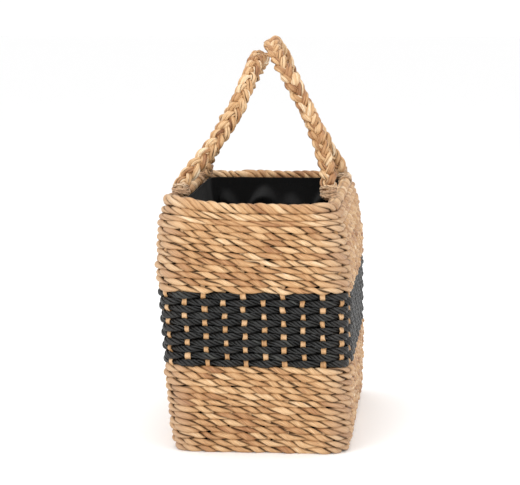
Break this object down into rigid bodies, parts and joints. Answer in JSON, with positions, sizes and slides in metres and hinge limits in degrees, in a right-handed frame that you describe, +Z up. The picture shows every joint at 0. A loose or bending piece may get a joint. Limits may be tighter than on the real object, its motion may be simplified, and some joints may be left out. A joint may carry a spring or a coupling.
{
  "type": "woven market basket",
  "caption": "Rectangular plain-woven seagrass market basket with a dark band, a loose dark cloth lining and a plaited handle on each long side.",
  "frame": {"origin": "centre of the base, on the surface it stands on", "axes": "+X across the narrow width, +Y along the length, +Z up"},
  "size_m": [0.2134, 0.38, 0.4448],
  "materials": {
    "natural_cord": "twisted natural seagrass cord, dry and satin",
    "dyed_cord": "charcoal-dyed twisted seagrass cord",
    "stake_seagrass": "flat natural seagrass stake",
    "plaited_seagrass": "three-strand plait of natural seagrass",
    "lining_cloth": "plain-woven black cotton"
  },
  "bodies": {
    "basket": {"band_row_01": "dyed_cord", "band_row_02": "dyed_cord", "band_row_03": "dyed_cord", "band_row_04": "dyed_cord", "band_row_05": "dyed_cord", "band_row_06": "dyed_cord", "band_row_07": "dyed_cord", "band_row_08": "dyed_cord", "band_row_09": "dyed_cord", "band_row_10": "dyed_cord", "band_row_11": "dyed_cord", "base_cross_stakes": "stake_seagrass", "base_weave": "natural_cord", "border_braid_row": "natural_cord", "border_flat_row": "natural_cord", "border_roll": "natural_cord", "left_handle_back_foot": "plaited_seagrass", "left_handle_front_foot": "plaited_seagrass", "lining_bag": "lining_cloth", "lining_hem": "lining_cloth", "lower_row_01": "natural_cord", "lower_row_02": "natural_cord", "lower_row_03": "natural_cord", "lower_row_04": "natural_cord", "lower_row_05": "natural_cord", "lower_row_06": "natural_cord", "lower_row_07": "natural_cord", "lower_row_08": "natural_cord", "lower_row_09": "natural_cord", "lower_row_10": "natural_cord", "lower_row_11": "natural_cord", "lower_row_12": "natural_cord", "lower_row_13": "natural_cord", "right_handle_back_foot": "plaited_seagrass", "right_handle_front_foot": "plaited_seagrass", "stakes_back": "stake_seagrass", "stakes_corners": "stake_seagrass", "stakes_front": "stake_seagrass", "stakes_left": "stake_seagrass", "stakes_right": "stake_seagrass", "upper_row_01": "natural_cord", "upper_row_02": "natural_cord", "upper_row_03": "natural_cord", "upper_row_04": "natural_cord", "upper_row_05": "natural_cord", "upper_row_06": "natural_cord", "upper_row_07": "natural_cord", "upper_row_08": "natural_cord", "upper_row_09": "natural_cord", "upper_row_10": "natural_cord"},
    "left_handle": {"left_handle_strand_1": "plaited_seagrass", "left_handle_strand_2": "plaited_seagrass", "left_handle_strand_3": "plaited_seagrass"},
    "right_handle": {"right_handle_strand_1": "plaited_seagrass", "right_handle_strand_2": "plaited_seagrass", "right_handle_strand_3": "plaited_seagrass"}
  },
  "joints": [
    {"name": "left_handle_fold", "type": "hinge", "parent": "basket", "child": "left_handle", "pos_m": [-0.09336, 0, 0.2841], "axis": [0, -1, 0], "range_deg": [0, 90]},
    {"name": "right_handle_fold", "type": "hinge", "parent": "basket", "child": "right_handle", "pos_m": [0.06897, 0, 0.2841], "axis": [0, 1, 0], "range_deg": [0, 90]}
  ]
}
